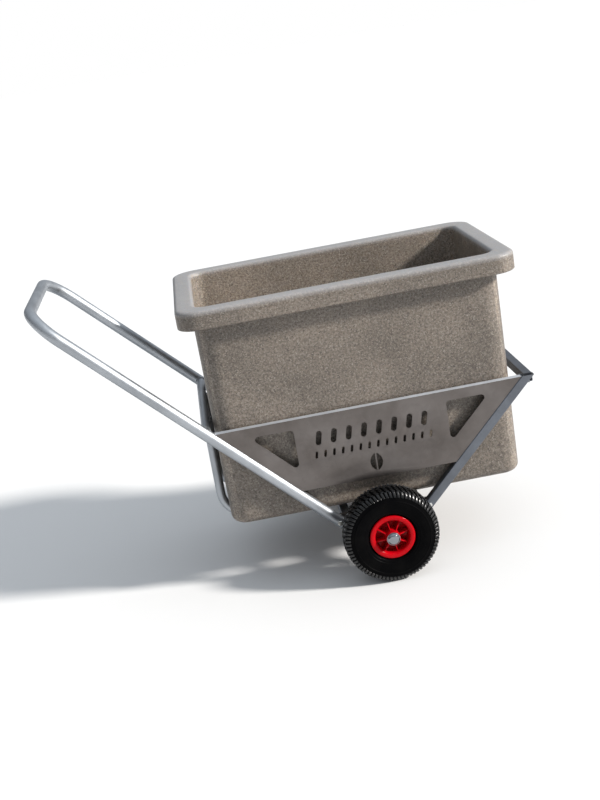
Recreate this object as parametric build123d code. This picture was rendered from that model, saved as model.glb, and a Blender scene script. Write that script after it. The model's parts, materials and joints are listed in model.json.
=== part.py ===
"""Two-wheeled garden cart: a moulded planter tub standing in a galvanised steel cradle frame.

Millimetres, +Z up, wheels on the floor at Z = 0.  +X points to the front, the handle is at -X,
and the cart is the same on both sides of the plane Y = 0.  The origin is on the floor, under
the middle of the bounding box.
"""
import math
import os

from build123d import *

# ---------------------------------------------------------------- driving dimensions
# frame: two 45 degree V shaped sides, joined by cross members
LEG_Y = 277.0            # middle of each handle leg, out from the centre plane
APEX_Z = 37.0            # height where the two sloping legs of a side would meet
HANDLE_D = 32.0          # handle tube, outside
HANDLE_WALL = 2.0
GRIP_Z = 866.0           # height of the grip bar's middle
GRIP_BEND_R = 100.0      # bend radius of the handle's two corners, to the tube's middle
LEG_FOOT_Z = 100.0       # height where the legs and struts end
STRUT_SIDE = 25.0        # square tube of the front struts and cross members
STRUT_WALL = 2.0
RING_TOP = 471.0         # top of the side plates and of the front bar
REAR_BAR_D = 25.0
CRADLE_D = 25.0          # two bent tubes that carry the tub
CRADLE_Y = 120.0
CRADLE_X = 430.0         # middle of their upright part, behind the axle
CRADLE_BEND_R = 70.0
TUBE_WALL = 2.0

# axle and its brackets
AXLE_D = 20.0
BRACKET_T = 6.0
BRACKET_TOP = 174.0
BRACKET_FOOT = 94.0
MEMBER_X = 100.0         # lower cross members, ahead of and behind the axle
BOLT_D = 8.0

# side plates
PLATE_T = 3.0
PLATE_Y = 281.0          # inner face of the plate
PLATE_FOOT = 268.0
PLATE_FLANGE = 20.0      # width of the folded top edge
CUTOUT_TOP = 443.0       # top edge of the triangular cut-outs
CUTOUT_SIDE_X = 207.0    # their upright edge, from the middle
CUTOUT_R = 9.0

# wheels
TYRE_R = 130.0
TYRE_W = 84.0
WHEEL_Y = 348.0          # middle of each wheel
HUB_LENGTH = 88.0
HUB_R = 19.0
RIM_R = 61.0             # outside of the rim flange
RIM_BARREL_R = 50.0
RIM_W = 72.0
RIB_COUNT = 8
RIB_T = 3.5
WHEEL_TURN = 11.5        # how far ribs and valves stand round the axle, degrees
BUSH_R = 14.0
RUNNING_GAP = 0.05       # radial gap between axle and bush

# planter tub
TUB_SETBACK = 7.0        # its middle stands this far behind the axle
TUB_FOOT = 190.0
TUB_HEIGHT = 620.0
RIM_LENGTH = 900.0
RIM_WIDTH = 600.0
LIP_OVERHANG = 42.0
LIP_HEIGHT = 51.0
LIP_WALL = 10.0
TUB_WALL = 12.0
TUB_TAPER = 4.0          # how far each wall leans in at the foot
TUB_CORNER_R = 52.0
TUB_FOOT_R = 50.0
LIP_CORNER_R = 62.0

# ---------------------------------------------------------------- derived positions
AXLE_Z = TYRE_R
GRIP_REACH = GRIP_Z - APEX_Z                       # grip bar behind the axle
STRUT_HALF = STRUT_SIDE / 2
STRUT_Y = LEG_Y - HANDLE_D / 2 + STRUT_HALF        # struts share the legs' inner plane
SIDE_INNER = LEG_Y - HANDLE_D / 2                  # inner plane of each frame side
FRONT_REACH = RING_TOP - APEX_Z + STRUT_HALF * 2 ** 0.5
AXLE_X = (GRIP_REACH + HANDLE_D / 2 - FRONT_REACH) / 2
CRADLE_Z = TUB_FOOT - 0.5 - CRADLE_D / 2
MEMBER_Z = CRADLE_Z - CRADLE_D / 2 - STRUT_HALF
HUB_INNER = WHEEL_Y - HUB_LENGTH / 2
HUB_OUTER = WHEEL_Y + HUB_LENGTH / 2
SIDES = {"right": -1, "left": 1}                   # seen from the handle


def leg_x(z):
    """Distance from the axle of a sloping leg's middle line at height z."""
    return z - APEX_Z


def along_y(x, z, radius, y0, y1):
    """Cylinder along Y, x measured from the axle."""
    plane = Plane(origin=(AXLE_X + x, y0, z), x_dir=(1, 0, 0), z_dir=(0, 1, 0))
    return extrude(plane * Circle(radius), y1 - y0)


def ring_along_y(x, z, outer, inner, y0, y1):
    """Tube or washer along Y."""
    return along_y(x, z, outer, y0, y1) - along_y(x, z, inner, y0, y1)


def box_between(x0, x1, y0, y1, z0, z1):
    """Block between two corners, x measured from the axle."""
    middle = Location((AXLE_X + (x0 + x1) / 2, (y0 + y1) / 2, (z0 + z1) / 2))
    return middle * Box(x1 - x0, y1 - y0, z1 - z0)


def upright_face(points, y):
    """Flat outline in a plane of constant Y; points are (x from the axle, z)."""
    plane = Plane(origin=(AXLE_X, y, 0), x_dir=(1, 0, 0), z_dir=(0, -1, 0))
    return plane * make_face(Polyline(*points, close=True))


# ---------------------------------------------------------------- frame tubes
def handle_plane():
    """The sloping plane the handle is bent in: its x runs up the legs, its y across."""
    foot = (AXLE_X - leg_x(LEG_FOOT_Z), 0, LEG_FOOT_Z)
    return Plane(origin=foot, x_dir=(-1, 0, 1), z_dir=(-1, 0, -1))


def handle_path():
    length = (GRIP_Z - LEG_FOOT_Z) * 2 ** 0.5
    outline = Polyline((0, -LEG_Y), (length, -LEG_Y), (length, LEG_Y), (0, LEG_Y))
    bent = fillet(outline.vertices()[1:3], GRIP_BEND_R)
    return handle_plane() * bent


def swept(path, radius):
    start = Plane(origin=path @ 0, z_dir=path % 0)
    return sweep(start * Circle(radius), path=path)


def handle_solid():
    """The handle's outer shape, without its bore or its cut feet."""
    return swept(handle_path(), HANDLE_D / 2)


def bolt_points():
    """Where each bracket is bolted to its handle leg and strut: (x from the axle, z)."""
    points = []
    for end in (-1, 1):
        for z in (BRACKET_TOP - 13, BRACKET_FOOT + 14):
            points.append((end * leg_x(z), z))
    return points


def bolt_holes(radius):
    holes = []
    for x, z in bolt_points():
        for side in SIDES.values():
            inner = side * (SIDE_INNER - BRACKET_T - 1)
            outer = side * (LEG_Y + HANDLE_D / 2 + 1)
            holes.append(along_y(x, z, radius, min(inner, outer), max(inner, outer)))
    return Part() + holes


def handle_tube(outer):
    tube = outer - swept(handle_path(), HANDLE_D / 2 - HANDLE_WALL)
    return tube - bolt_holes(BOLT_D / 2 + 0.25)


def front_strut(side):
    """Square tube from the axle bracket up to the front bar, cut level at the top."""
    foot = (AXLE_X + leg_x(LEG_FOOT_Z), side * STRUT_Y, LEG_FOOT_Z)
    plane = Plane(origin=foot, x_dir=(0, 1, 0), z_dir=(1, 0, 1))
    length = (RING_TOP - LEG_FOOT_Z) * 2 ** 0.5 + STRUT_SIDE
    outside = fillet(Rectangle(STRUT_SIDE, STRUT_SIDE).vertices(), 3)
    bore_side = STRUT_SIDE - 2 * STRUT_WALL
    section = outside - fillet(Rectangle(bore_side, bore_side).vertices(), 1)
    strut = extrude(plane * section, length)
    above = box_between(0, 900, -400, 400, RING_TOP, RING_TOP + 200)
    return strut - above - bolt_holes(BOLT_D / 2 + 0.25)


def square_member(x, z, half_length):
    """Square tube across the cart."""
    outside = fillet(Rectangle(STRUT_SIDE, STRUT_SIDE).vertices(), 3)
    bore_side = STRUT_SIDE - 2 * STRUT_WALL
    section = outside - fillet(Rectangle(bore_side, bore_side).vertices(), 1)
    plane = Plane(origin=(AXLE_X + x, -half_length, z), x_dir=(1, 0, 0), z_dir=(0, 1, 0))
    return extrude(plane * section, 2 * half_length)


def front_bar():
    x = FRONT_REACH - STRUT_HALF
    return square_member(x, RING_TOP - STRUT_HALF, SIDE_INNER)


def rear_bar(handle_outer):
    x = -leg_x(RING_TOP)
    bar = ring_along_y(x, RING_TOP, REAR_BAR_D / 2, REAR_BAR_D / 2 - TUBE_WALL, -LEG_Y, LEG_Y)
    pieces = (bar - handle_outer).solids()
    return max(pieces, key=lambda piece: piece.volume)


def cradle_tube(side):
    """Hangs from the rear bar, bends under the tub and lies on both lower cross members."""
    top = RING_TOP - 4
    front = MEMBER_X + STRUT_HALF
    plane = Plane(origin=(AXLE_X, side * CRADLE_Y, 0), x_dir=(1, 0, 0), z_dir=(0, -1, 0))
    line = Polyline((-CRADLE_X, top), (-CRADLE_X, CRADLE_Z), (front, CRADLE_Z))
    path = plane * fillet(line.vertices()[1], CRADLE_BEND_R)
    tube = swept(path, CRADLE_D / 2) - swept(path, CRADLE_D / 2 - TUBE_WALL)
    bar = along_y(-leg_x(RING_TOP), RING_TOP, REAR_BAR_D / 2, -LEG_Y, LEG_Y)
    return max((tube - bar).solids(), key=lambda piece: piece.volume)


# ---------------------------------------------------------------- axle and brackets
def bracket_outline():
    """Trapezium whose sloping ends follow the outer edges of the leg and the strut."""
    top = leg_x(BRACKET_TOP) + 14
    foot = leg_x(BRACKET_FOOT) + 14
    return [(-top, BRACKET_TOP), (top, BRACKET_TOP), (foot, BRACKET_FOOT), (-foot, BRACKET_FOOT)]


def axle_bracket(side):
    inner = SIDE_INNER - BRACKET_T
    y = side * SIDE_INNER if side < 0 else side * inner
    plane = Plane(origin=(AXLE_X, y, 0), x_dir=(1, 0, 0), z_dir=(0, -1, 0))
    face = make_face(Polyline(*bracket_outline(), close=True))
    face = fillet(face.vertices(), 6)
    plate = extrude(plane * face, -BRACKET_T)
    plate -= along_y(0, AXLE_Z, AXLE_D / 2, -SIDE_INNER - 1, SIDE_INNER + 1)
    return plate - bolt_holes(BOLT_D / 2 + 0.25)


def axle_end():
    return HUB_OUTER + 8.0


def axle_rod():
    rod = along_y(0, AXLE_Z, AXLE_D / 2, -axle_end(), axle_end())
    return chamfer(rod.edges().filter_by(GeomType.CIRCLE), 1.0)


def mirrored_pair(make):
    """The same solid on both ends of the axle, as one group."""
    piece = make()
    return Compound(children=[piece, mirror(piece, about=Plane.XZ)])


def axle_spacers():
    return mirrored_pair(lambda: ring_along_y(0, AXLE_Z, 14, AXLE_D / 2,
                                              SIDE_INNER, HUB_INNER - 2.5))


def axle_washers():
    """Thrust washers on both sides of each hub."""
    washers = []
    for side in (-1, 1):
        for y0 in (HUB_INNER - 2.5, HUB_OUTER + 0.5):
            a, b = sorted((side * y0, side * (y0 + 2)))
            washers.append(ring_along_y(0, AXLE_Z, 17, AXLE_D / 2, a, b))
    return Compound(children=washers)


def axle_caps():
    """Domed push-on caps that hold the wheels on the axle."""
    def cap():
        y0 = HUB_OUTER + 2.5
        flange = along_y(0, AXLE_Z, 18, y0, y0 + 2)
        dome = along_y(0, AXLE_Z, 16, y0 + 2, y0 + 9)
        dome = fillet(dome.edges().group_by(Axis.Y)[-1], 6.5)
        hollow = along_y(0, AXLE_Z, AXLE_D / 2, y0, axle_end())
        return (flange + dome) - hollow
    return mirrored_pair(cap)


def hexagon_along_y(x, z, across, y0, y1):
    plane = Plane(origin=(AXLE_X + x, y0, z), x_dir=(1, 0, 0), z_dir=(0, 1, 0))
    return extrude(plane * RegularPolygon(across / 3 ** 0.5, 6), y1 - y0)


def bracket_bolts():
    """Hexagon bolts through each leg or strut and its bracket, heads on the outside."""
    bolts = []
    for x, z in bolt_points():
        outside = LEG_Y + HANDLE_D / 2 if x < 0 else STRUT_Y + STRUT_HALF
        for side in (-1, 1):
            head = sorted((side * outside, side * (outside + 5)))
            shank = sorted((side * outside, side * (SIDE_INNER - BRACKET_T - 9)))
            bolt = hexagon_along_y(x, z, 13, *head)
            bolt += along_y(x, z, BOLT_D / 2, *shank)
            bolts.append(bolt)
    return Compound(children=bolts)


def bracket_nuts():
    nuts = []
    for x, z in bolt_points():
        for side in (-1, 1):
            inner = SIDE_INNER - BRACKET_T
            span = sorted((side * inner, side * (inner - 6.5)))
            nut = hexagon_along_y(x, z, 13, *span)
            nuts.append(nut - along_y(x, z, BOLT_D / 2, *span))
    return Compound(children=nuts)


# ---------------------------------------------------------------- side plates
def cutout_triangle(end):
    """Right-angled window whose long edge runs along the leg; end is -1 rear or 1 front."""
    side = CUTOUT_TOP - 326
    points = [(end * CUTOUT_SIDE_X, CUTOUT_TOP),
              (end * (CUTOUT_SIDE_X + side), CUTOUT_TOP),
              (end * CUTOUT_SIDE_X, CUTOUT_TOP - side)]
    return fillet(make_face(Polyline(*points, close=True)).vertices(), CUTOUT_R)


def slot_row(count, pitch, z, length, width, lean):
    """A row of round-ended slots that lean towards the front."""
    slots = []
    for i in range(count):
        x = (i - (count - 1) / 2) * pitch
        slots.append(Location((x, z), 90 - lean) * SlotOverall(length, width))
    return slots


def leaf_halves(x, z, height, width, rib):
    """A plain leaf, cut as two halves beside a straight middle rib."""
    bulge = (height ** 2 / 4 + width ** 2 / 4) / width
    offset = bulge - width / 2
    left = Location((x + offset, z)) * Circle(bulge)
    right = Location((x - offset, z)) * Circle(bulge)
    leaf = left & right
    return leaf - Location((x, z)) * Rectangle(rib, height * 1.2)


def side_plate(side, handle_outer):
    """Laser-cut sheet between leg and strut, with its top edge folded in towards the tub."""
    top = leg_x(RING_TOP)
    foot = leg_x(PLATE_FOOT)
    outline = [(-top, RING_TOP), (top, RING_TOP), (foot, PLATE_FOOT), (-foot, PLATE_FOOT)]
    face = make_face(Polyline(*outline, close=True))
    for end in (-1, 1):
        face -= cutout_triangle(end)
    for slot in slot_row(8, 41, 408, 40, 15, 12):
        face -= slot
    for slot in slot_row(14, 24, 362, 20, 7, 12):
        face -= slot
    face -= leaf_halves(0, 312, 52, 34, 4)
    plane = Plane(origin=(AXLE_X, -PLATE_Y, 0), x_dir=(1, 0, 0), z_dir=(0, -1, 0))
    plate = extrude(plane * face, PLATE_T)
    flange = box_between(-top + 2, top - 2, -PLATE_Y - PLATE_T, -PLATE_Y + PLATE_FLANGE - PLATE_T,
                         RING_TOP - PLATE_T, RING_TOP)
    plate += flange
    plate -= handle_outer
    plate -= strut_outer(-1)
    plate = max(plate.solids(), key=lambda piece: piece.volume)
    return plate if side < 0 else mirror(plate, about=Plane.XZ)


def strut_outer(side):
    """The strut's space without bore, for cutting what is welded to it."""
    foot = (AXLE_X + leg_x(LEG_FOOT_Z), side * STRUT_Y, LEG_FOOT_Z)
    plane = Plane(origin=foot, x_dir=(0, 1, 0), z_dir=(1, 0, 1))
    outside = fillet(Rectangle(STRUT_SIDE, STRUT_SIDE).vertices(), 3)
    return extrude(plane * outside, (RING_TOP - LEG_FOOT_Z) * 2 ** 0.5 + 80)


# ---------------------------------------------------------------- wheels
def turned(points, side):
    """Turns a profile of (offset from the wheel's middle, radius) about the axle."""
    plane = Plane(origin=(AXLE_X, side * WHEEL_Y, AXLE_Z), x_dir=(0, 1, 0), z_dir=(-1, 0, 0))
    face = plane * make_face(Polyline(*points, close=True))
    return revolve(face, axis=Axis((AXLE_X, 0, AXLE_Z), (0, 1, 0)))


def turned_face(face, side):
    plane = Plane(origin=(AXLE_X, side * WHEEL_Y, AXLE_Z), x_dir=(0, 1, 0), z_dir=(-1, 0, 0))
    return revolve(plane * face, axis=Axis((AXLE_X, 0, AXLE_Z), (0, 1, 0)))


def tyre(side):
    """Hollow tyre: rounded sidewalls, flattish crown, two beads on the rim."""
    half = TYRE_W / 2
    outer = [(-27.5, RIM_BARREL_R), (-27.5, 62), (-37, 67.5), (-40, 78), (-half, 92),
             (-half, 101), (-40.5, 109), (-37, 116), (-31, 122), (-22, 126.8), (-11, 129.3),
             (0, TYRE_R)]
    outer += [(-y, r) for y, r in reversed(outer[:-1])]
    inner = [(-19, RIM_BARREL_R), (-20, 62), (-27, 70), (-33, 82), (-35, 94), (-33, 107),
             (-26, 116), (-12, 120.5), (0, 121)]
    inner += [(-y, r) for y, r in reversed(inner[:-1])]
    return turned(outer, side) - turned(inner, side)


def inner_tube(side):
    """Air tube inside the tyre."""
    outside = Location((0, 90)) * Ellipse(26, 28)
    inside = Location((0, 90)) * Ellipse(24, 26)
    return turned_face(outside - inside, side)


def wheel_rim(side):
    """One-piece moulded rim: hub, web, thin radial ribs and a flanged barrel."""
    half = RIM_W / 2
    barrel = [(-half, RIM_R - 3), (-half + 2, RIM_R), (-28, RIM_R), (-28, RIM_BARREL_R),
              (28, RIM_BARREL_R), (28, RIM_R), (half - 2, RIM_R), (half, RIM_R - 3),
              (half, 50), (half - 4, 46), (-half + 4, 46), (-half, 50)]
    hub = [(-HUB_LENGTH / 2, BUSH_R), (-HUB_LENGTH / 2, HUB_R), (HUB_LENGTH / 2, HUB_R),
           (HUB_LENGTH / 2, BUSH_R)]
    web = [(-3, HUB_R - 1), (-3, 47), (3, 47), (3, HUB_R - 1)]
    rim = turned(barrel, side) + turned(hub, side) + turned(web, side)
    rim += [rib(side, WHEEL_TURN + (i + 0.5) * 360 / RIB_COUNT) for i in range(RIB_COUNT)]
    return rim - valve_hole(side, 5.0)


def rib(side, angle):
    """Thin rib on both faces of the web, sloping back from the hub to the barrel."""
    points = [(HUB_R - 1, -34), (47, -26), (47, 26), (HUB_R - 1, 34)]
    plane = Plane(origin=(AXLE_X, side * WHEEL_Y, AXLE_Z), x_dir=(1, 0, 0), z_dir=(0, 0, 1))
    plate = extrude(plane * make_face(Polyline(*points, close=True)), RIB_T / 2, both=True)
    return plate.rotate(Axis((AXLE_X, 0, AXLE_Z), (0, 1, 0)), angle)


def valve_plane(side):
    """The valve sits in a pocket on the face towards the frame and points at the hub."""
    y = side * (WHEEL_Y - 14)
    sine, cosine = math.sin(math.radians(WHEEL_TURN)), math.cos(math.radians(WHEEL_TURN))
    return Plane(origin=(AXLE_X, y, AXLE_Z), x_dir=(cosine, 0, -sine), z_dir=(-sine, 0, -cosine))


def valve_hole(side, radius):
    return extrude(valve_plane(side).offset(40) * Circle(radius), 14)


def valve_stem(side):
    plane = valve_plane(side)
    return extrude(plane.offset(33) * Circle(4), 25)


def valve_cap(side):
    plane = valve_plane(side)
    cap = extrude(plane.offset(25) * Circle(5), 12) - extrude(plane.offset(33) * Circle(4), 5)
    return cap


def hub_bushes(side):
    """Flanged bush pressed into each end of the hub."""
    bore = AXLE_D / 2 + RUNNING_GAP
    bushes = []
    for end in (-1, 1):
        y = side * WHEEL_Y
        a, b = sorted((y + end * HUB_LENGTH / 2, y + end * (HUB_LENGTH / 2 - 22)))
        bushes.append(ring_along_y(0, AXLE_Z, BUSH_R, bore, a, b))
    return Compound(children=bushes)


# ---------------------------------------------------------------- planter tub
def tub_block(length, width, radius, z):
    plane = Plane(origin=(AXLE_X - TUB_SETBACK, 0, z))
    return plane * RectangleRounded(length, width, radius)


def tub_shape(inset, foot, foot_radius, top):
    """Tapered rounded box; inset is measured in from the tub's outer walls."""
    length = RIM_LENGTH - 2 * LIP_OVERHANG - 2 * inset
    width = RIM_WIDTH - 2 * LIP_OVERHANG - 2 * inset
    corner = TUB_CORNER_R - inset
    shape = loft([tub_block(length - 2 * TUB_TAPER, width - 2 * TUB_TAPER, corner, foot),
                  tub_block(length, width, corner, top)])
    bottom = shape.faces().sort_by(Axis.Z)[0]
    return fillet(bottom.edges(), foot_radius)


def planter_tub():
    """Single-wall moulded tub with a broad lip that turns down around its mouth."""
    top = TUB_FOOT + TUB_HEIGHT
    lip_foot = top - LIP_HEIGHT
    outer = tub_shape(0, TUB_FOOT, TUB_FOOT_R - 1, top - 2)
    lip = extrude(tub_block(RIM_LENGTH, RIM_WIDTH, LIP_CORNER_R, lip_foot), LIP_HEIGHT)
    lip = fillet(lip.faces().sort_by(Axis.Z)[-1].edges(), 17)
    lip = fillet(lip.faces().sort_by(Axis.Z)[0].edges(), 4)
    groove_length = RIM_LENGTH - 2 * LIP_WALL
    groove_width = RIM_WIDTH - 2 * LIP_WALL
    groove = extrude(tub_block(groove_length, groove_width, LIP_CORNER_R - LIP_WALL,
                               lip_foot - 1), LIP_HEIGHT - 16)
    cavity = tub_shape(TUB_WALL, TUB_FOOT + TUB_WALL, TUB_FOOT_R - TUB_WALL, top + 1)
    tub = (lip - groove) + outer - cavity
    mouth = [edge for edge in tub.edges()
             if abs(edge.center().Z - top) < 0.5 and abs(edge.bounding_box().size.Z) < 0.1]
    inner = [edge for edge in mouth if is_mouth_edge(edge)]
    return fillet(inner, 18)


def is_mouth_edge(edge):
    """True for the edges between the lip's level top and the tub's inner walls."""
    dx = abs(edge.center().X - (AXLE_X - TUB_SETBACK))
    dy = abs(edge.center().Y)
    half_length = RIM_LENGTH / 2 - LIP_OVERHANG - TUB_WALL + 3
    half_width = RIM_WIDTH / 2 - LIP_OVERHANG - TUB_WALL + 3
    return dx < half_length and dy < half_width


# ---------------------------------------------------------------- export
def build():
    handle_outer = handle_solid()
    parts = {
        "planter_tub": planter_tub(),
        "handle_tube": handle_tube(handle_outer),
        "rear_bar": rear_bar(handle_outer),
        "front_bar": front_bar(),
        "member_rear": square_member(-MEMBER_X, MEMBER_Z, SIDE_INNER - BRACKET_T),
        "member_front": square_member(MEMBER_X, MEMBER_Z, SIDE_INNER - BRACKET_T),
        "axle_rod": axle_rod(),
        "axle_spacers": axle_spacers(),
        "axle_washers": axle_washers(),
        "axle_caps": axle_caps(),
        "bracket_bolts": bracket_bolts(),
        "bracket_nuts": bracket_nuts(),
    }
    for name, side in SIDES.items():
        parts["strut_" + name] = front_strut(side)
        parts["cradle_tube_" + name] = cradle_tube(side)
        parts["side_plate_" + name] = side_plate(side, handle_outer)
        parts["axle_bracket_" + name] = axle_bracket(side)
        parts["tyre_" + name] = tyre(side)
        parts["inner_tube_" + name] = inner_tube(side)
        parts["rim_" + name] = wheel_rim(side)
        parts["bushes_" + name] = hub_bushes(side)
        parts["valve_stem_" + name] = valve_stem(side)
        parts["valve_cap_" + name] = valve_cap(side)
    return parts


if __name__ == "__main__":
    os.makedirs("parts", exist_ok=True)
    for name, part in build().items():
        export_step(part, f"parts/{name}.step")
        print(f"{name:22s} {part.volume / 1000:9.1f} cm3  {len(part.solids())} solid(s)")
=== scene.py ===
# %% [markdown]
# # A planter cart, piece by piece
# This lesson dresses a finished CAD model of a two-wheeled planter cart: a moulded tub that
# stands in a galvanised frame.  The CAD gives every size and every moving part.  Blender adds
# what the eye looks for: rolled edges, weld beads, tyre tread, speckled plastic and dull zinc.
# Every cell makes one thing, and the markdown before it says what that thing is and why it is
# made that way.

# %% Load the fixed frame
import json
import math

import bmesh
import bpy
import numpy as np
from mathutils import Matrix, Vector


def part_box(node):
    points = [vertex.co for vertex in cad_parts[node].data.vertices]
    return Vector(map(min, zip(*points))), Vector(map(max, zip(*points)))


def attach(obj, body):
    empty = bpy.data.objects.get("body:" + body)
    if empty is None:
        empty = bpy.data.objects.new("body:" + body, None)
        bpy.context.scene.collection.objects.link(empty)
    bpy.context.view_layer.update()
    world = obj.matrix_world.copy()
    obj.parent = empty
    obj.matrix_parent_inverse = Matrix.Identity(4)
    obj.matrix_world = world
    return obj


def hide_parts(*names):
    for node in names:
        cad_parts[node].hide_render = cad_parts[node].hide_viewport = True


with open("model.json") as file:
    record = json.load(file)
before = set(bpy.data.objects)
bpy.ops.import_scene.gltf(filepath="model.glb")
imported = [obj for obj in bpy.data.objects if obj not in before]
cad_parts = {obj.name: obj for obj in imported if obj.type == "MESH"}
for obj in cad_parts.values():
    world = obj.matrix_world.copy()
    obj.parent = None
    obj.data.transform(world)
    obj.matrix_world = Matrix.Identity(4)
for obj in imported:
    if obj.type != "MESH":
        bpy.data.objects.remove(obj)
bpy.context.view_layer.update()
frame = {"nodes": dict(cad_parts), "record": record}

# %% [markdown]
# ## Measures
# A workshop drawing gives its sizes in millimetres, and Blender counts in metres, so sizes are
# written as a number times MM.  Places come from the boxes of the CAD nodes wherever they can,
# so that the looks follow the frame.

# %% Places that the other cells lean on
MM = 0.001
SIDES = {"right": -1, "left": 1}

tub_low, tub_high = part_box("planter_tub")
axle_low, axle_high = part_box("axle_rod")
TUB_X = (tub_low.x + tub_high.x) / 2
AXLE = Vector(((axle_low.x + axle_high.x) / 2, 0, (axle_low.z + axle_high.z) / 2))
WHEEL_Y = {side: sum(corner.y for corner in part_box("tyre_" + side)) / 2 for side in SIDES}
print("axle at", tuple(round(v, 4) for v in AXLE), "wheels at", WHEEL_Y)

# %% [markdown]
# ## The camera
# The camera stands at the cart's right side, a little above hand height, and is tipped about
# its own line of sight, which makes the cart look as if it rolls downhill.  A camera is turned
# with three angles: where it looks along the ground, how far it looks down, and its tip.
# Writing the three axes down by hand shows what a rotation matrix is: its columns are the
# camera's right, its up, and the direction behind it.

# %% Make the camera
def camera_turn(heading, downward, tip):
    """Rotation of a camera that looks along +Y, turned by heading, lowered and tipped."""
    forward = Vector((math.sin(heading) * math.cos(downward),
                      math.cos(heading) * math.cos(downward), -math.sin(downward)))
    level = Vector((math.cos(heading), -math.sin(heading), 0))
    upright = level.cross(forward)
    across = level * math.cos(tip) - upright * math.sin(tip)
    up = level * math.sin(tip) + upright * math.cos(tip)
    return Matrix((across, up, -forward)).transposed()


STAND = (-0.16365, -3.44802, 1.48837)                        # metres
HEADING, DOWNWARD, TIP = 0.0264368, 0.2864497, 0.1807167     # radians

camera_data = bpy.data.cameras.new("camera")
camera_data.sensor_width, camera_data.lens = 36, 56.518
camera_data.shift_x, camera_data.shift_y = 0.05, -0.00625
camera_data.clip_end = 60
camera = bpy.data.objects.new("camera", camera_data)
camera.matrix_world = (Matrix.Translation(STAND)
                       @ camera_turn(HEADING, DOWNWARD, TIP).to_4x4())
bpy.context.scene.collection.objects.link(camera)
bpy.context.scene.camera = camera
print("camera at", tuple(round(v, 3) for v in camera.location))

# %% [markdown]
# ## Turned shapes
# Wheels, caps and the studio floor are all turned shapes: an outline spun round an axis.
# Corners on real turned things are never sharp, so the outline is written as a few corners
# with a radius each, and a helper swaps every corner for a short arc.

# %% Round the corners of an outline
ALMOST_STRAIGHT = 0.02     # radians; a corner this shallow stays a single point
SHARE_OF_RUN = 0.49        # an arc may use up to this much of the run beside it


def eased_outline(corners, steps=4, closed=True):
    """Outline with rounded corners.
    A corner is (u, v, radius) or (u, v, radius, extra); extra is blended along the arc."""
    points = []
    count = len(corners)
    places = [np.array(corner[:2] + tuple(corner[3:]), float) for corner in corners]
    for i, corner in enumerate(corners):
        here = places[i]
        if corner[2] <= 0 or (not closed and i in (0, count - 1)):
            points.append(here)
            continue
        back, on = places[i - 1] - here, places[(i + 1) % count] - here
        back_length, on_length = np.hypot(*back[:2]), np.hypot(*on[:2])
        back, on = back / back_length, on / on_length
        opening = math.acos(max(-1, min(1, float(back[:2] @ on[:2]))))
        if opening > math.pi - ALMOST_STRAIGHT:
            points.append(here)
            continue
        reach = min(corner[2] / math.tan(opening / 2),
                    SHARE_OF_RUN * back_length, SHARE_OF_RUN * on_length)
        radius = reach * math.tan(opening / 2)
        start, end = here + back * reach, here + on * reach
        middle = here[:2] + (back[:2] + on[:2]) / np.hypot(*(back[:2] + on[:2])) * (
            radius / math.sin(opening / 2))
        a, b = start[:2] - middle, end[:2] - middle
        sweep = math.pi - opening
        for k in range(steps + 1):
            t = k / steps
            spot = middle + (a * math.sin((1 - t) * sweep)
                             + b * math.sin(t * sweep)) / math.sin(sweep)
            extra = start[2:] + (end[2:] - start[2:]) * t
            points.append(np.concatenate([spot, extra]))
    return [tuple(float(v) for v in p) for p in points]


print("outline of a 10 mm square with 2 mm corners has",
      len(eased_outline([(0, 0, 2), (10, 0, 2), (10, 10, 2), (0, 10, 2)])), "points")

# %% Mesh and lathe helpers
MERGE = 1e-7        # metres; points closer than this are one point
COLLAPSE = 1e-8     # metres; edges shorter than this are removed from turned shapes


def new_mesh(name, points, faces, edges=()):
    mesh = bpy.data.meshes.new(name)
    mesh.from_pydata([tuple(p) for p in points], list(edges), list(faces))
    mesh.update()
    return mesh


def tidy_mesh(mesh, turned=False):
    """Merges doubles, closes the poles of a turned shape, and turns all faces outwards."""
    work = bmesh.new()
    work.from_mesh(mesh)
    bmesh.ops.remove_doubles(work, verts=work.verts, dist=MERGE)
    if turned:
        bmesh.ops.dissolve_degenerate(work, edges=work.edges, dist=COLLAPSE)
    bmesh.ops.recalc_face_normals(work, faces=work.faces)
    work.to_mesh(mesh)
    work.free()
    return mesh


def lathe(name, outline, middle, steps=96, axis="Y", closed=True):
    """Spins (along the axis, radius) points round an axis through middle, in millimetres."""
    points, faces = [], []
    count = len(outline)
    for along, radius in outline:
        for k in range(steps):
            angle = 2 * math.pi * k / steps
            side, rise = radius * math.cos(angle), radius * math.sin(angle)
            spot = (side, along, rise) if axis == "Y" else (side, rise, along)
            points.append(Vector(spot) * MM + Vector(middle))
    for i in range(count if closed else count - 1):
        j = (i + 1) % count
        for k in range(steps):
            n = (k + 1) % steps
            faces.append((i * steps + k, i * steps + n, j * steps + n, j * steps + k))
    return tidy_mesh(new_mesh(name, points, faces), turned=True)


def add_object(name, mesh, material, smooth_angle=35):
    """Puts a mesh in the scene, smooth where its faces meet at less than the angle."""
    made = bpy.data.objects.new(name, mesh)
    bpy.context.scene.collection.objects.link(made)
    mesh.materials.clear()
    mesh.materials.append(material)
    mesh.shade_smooth()
    mesh.set_sharp_from_angle(angle=math.radians(smooth_angle))
    return made


print("mesh helpers ready")

# %% [markdown]
# ## Building node trees in code
# Materials and geometry trees are both made of nodes and links.  One helper adds a node, sets
# its options, and fills each input with a value or with a link from another node, so a tree
# reads from top to bottom like a recipe.

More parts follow.
